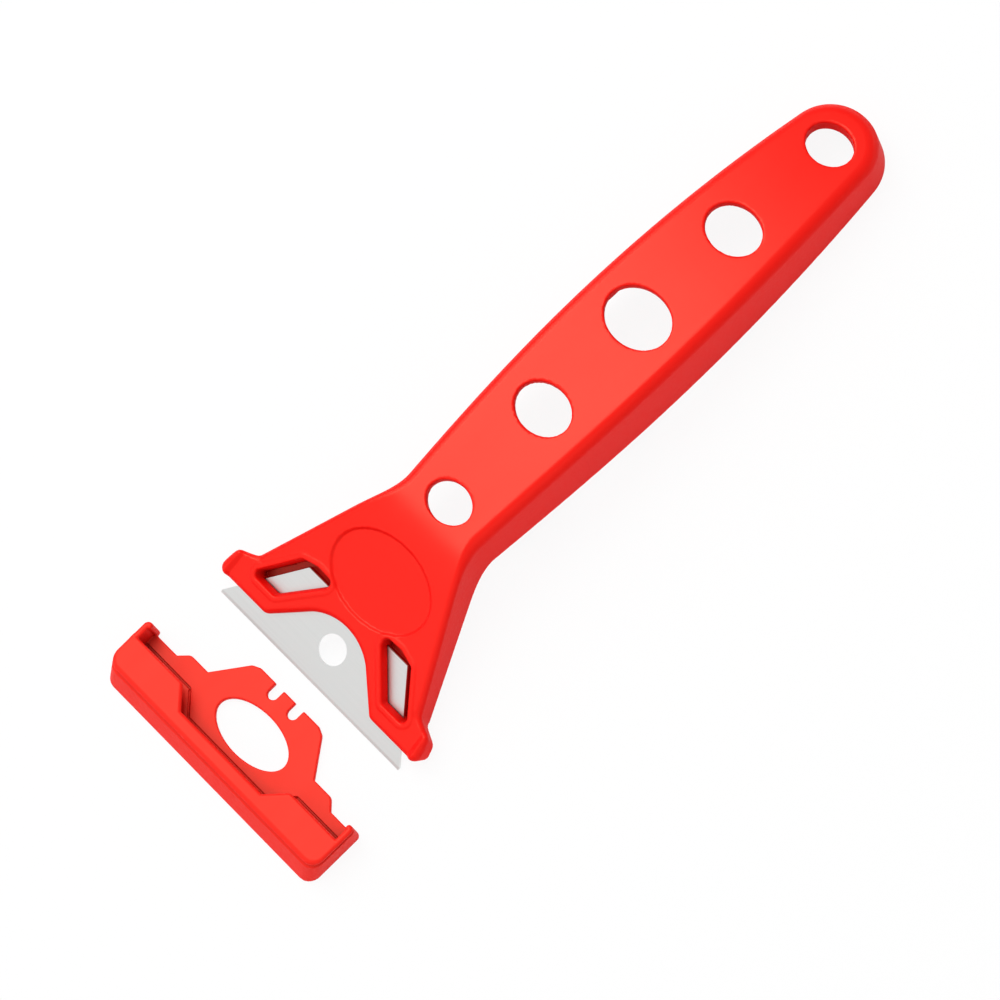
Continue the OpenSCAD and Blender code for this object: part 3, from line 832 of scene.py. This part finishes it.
# %% World and lamps
def soft_sky(horizon, zenith):
    """A world that the camera sees as white, with a dimmer light from near the horizon."""
    world = bpy.data.worlds.new("sky")
    world.use_nodes = True
    world.node_tree.nodes.clear()
    wire = Wire(world.node_tree)
    towards = wire.node("ShaderNodeTexCoord", out="Generated")
    height = wire.node("ShaderNodeSeparateXYZ", {}, {0: towards}, out=2)
    glow = height.clamped() * (zenith - horizon) + horizon
    by_camera, by_mirror = seen_rays(wire)
    white = wire.maths("MAXIMUM", by_camera, by_mirror * (height * -100).clamped())
    strength = glow + (1 - glow) * white
    sky = wire.node("ShaderNodeBackground", {}, {"Color": (1, 1, 1, 1), "Strength": strength})
    wire.node("ShaderNodeOutputWorld", {}, {"Surface": sky}, out=None)
    bpy.context.scene.world = world


def soft_box(name, place, size, watts):
    """A square lamp turned to the middle of the bench, out of the camera's sight."""
    lamp = bpy.data.lights.new(name, "AREA")
    lamp.shape, lamp.size, lamp.energy = "SQUARE", size, watts
    box = bpy.data.objects.new(name, lamp)
    box.location = place
    box.rotation_euler = (-Vector(place)).to_track_quat("-Z", "Y").to_euler()
    box.visible_camera = False
    bpy.context.scene.collection.objects.link(box)
    return box


def keep_off(box, piece):
    """The lamp lights everything but this piece."""
    group = bpy.data.collections.new(box.name + "_receivers")
    group.objects.link(piece)
    group.collection_objects[0].light_linking.link_state = "EXCLUDE"
    box.light_linking.receiver_collection = group


soft_sky(horizon=0.36, zenith=0.46)
for bright_box in (
    soft_box("overhead_box", (-0.40, 0.10, 1.25), size=0.85, watts=8.0),
    soft_box("left_box", (-1.05, 0.10, 1.00), size=0.9, watts=4.5),
):
    keep_off(bright_box, blade)
soft_box("front_box", (-0.38, -0.95, 0.70), size=1.4, watts=3.3)
soft_box("side_box", (0.95, -0.45, 0.60), size=1.4, watts=2.0)
bpy.context.scene.view_settings.view_transform = "Standard"
print("sky and four soft boxes set")

# %% [markdown]
# ## Putting it together
# Each piece takes its finish, stands for the CAD node of the same part and rides on that node's body, so
# the joints carry it.

# %% Pieces onto bodies
for piece, node, finish, slot in [
    (handle, "handle", handle_red, "handle_plastic"),
    (blade, "blade", blade_steel, "blade_steel"),
    (guard, "blade_guard", guard_red, "guard_plastic"),
]:
    piece.data.materials.clear()
    piece.data.materials.append(finish)
    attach(piece, node)
    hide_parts(node)
    print(piece.name, "rides on", node)
